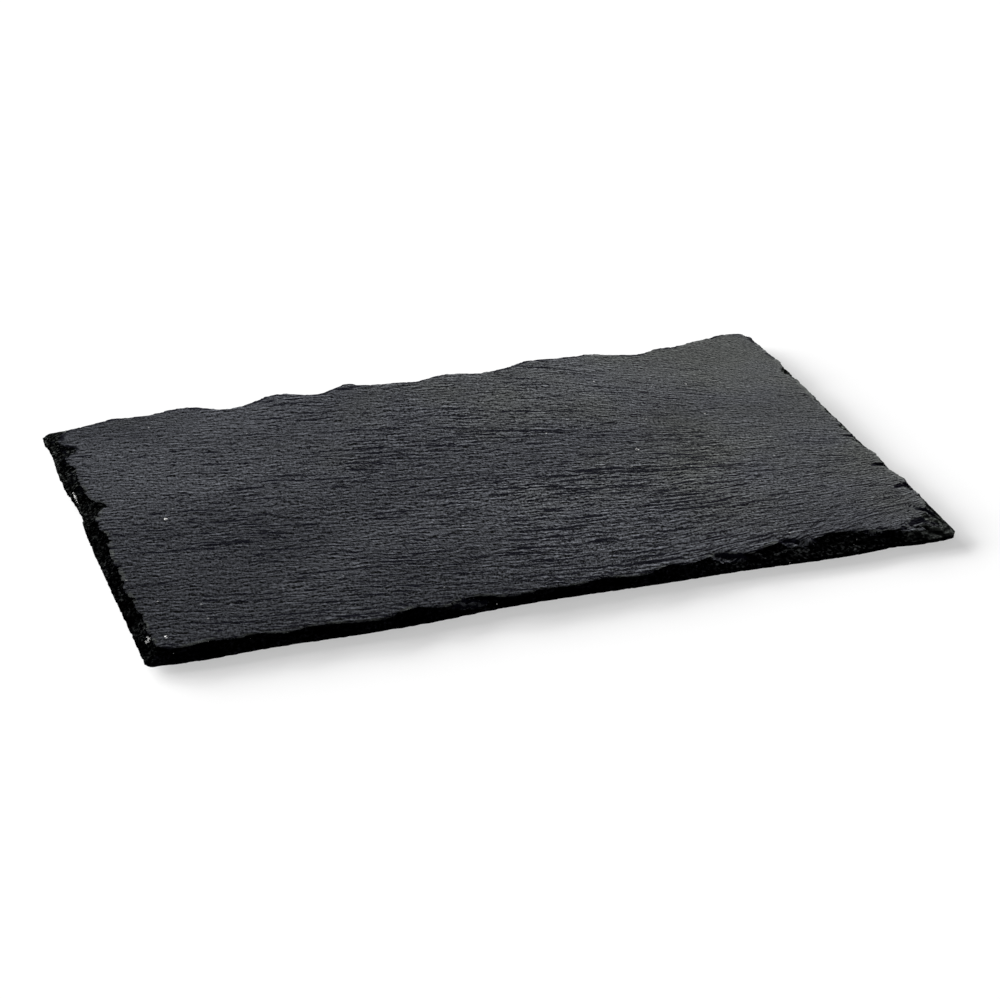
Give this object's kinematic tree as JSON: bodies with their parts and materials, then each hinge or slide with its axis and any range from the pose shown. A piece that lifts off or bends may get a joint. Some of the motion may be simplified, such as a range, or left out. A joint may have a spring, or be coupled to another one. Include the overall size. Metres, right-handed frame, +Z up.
{
  "type": "slate serving board",
  "caption": "Thin rectangular riven slate board with hand-dressed, chipped edges, raised on small stick-on rubber feet, for serving cheese, cold cuts or desserts.",
  "frame": {"origin": "on the table, under the middle of the slab", "axes": "+X along the slab, +Y from its front to its back, +Z up"},
  "size_m": [0.265, 0.164, 0.0067],
  "materials": {
    "slate": "riven, matt",
    "foot_rubber": "matt",
    "adhesive": "tacky film"
  },
  "bodies": {
    "root": {"slate_slab": "slate", "foot_front_left": "foot_rubber", "foot_front_right": "foot_rubber", "foot_back_right": "foot_rubber", "foot_back_left": "foot_rubber", "adhesive_film_front_left": "adhesive", "adhesive_film_front_right": "adhesive", "adhesive_film_back_right": "adhesive", "adhesive_film_back_left": "adhesive"}
  },
  "joints": []
}
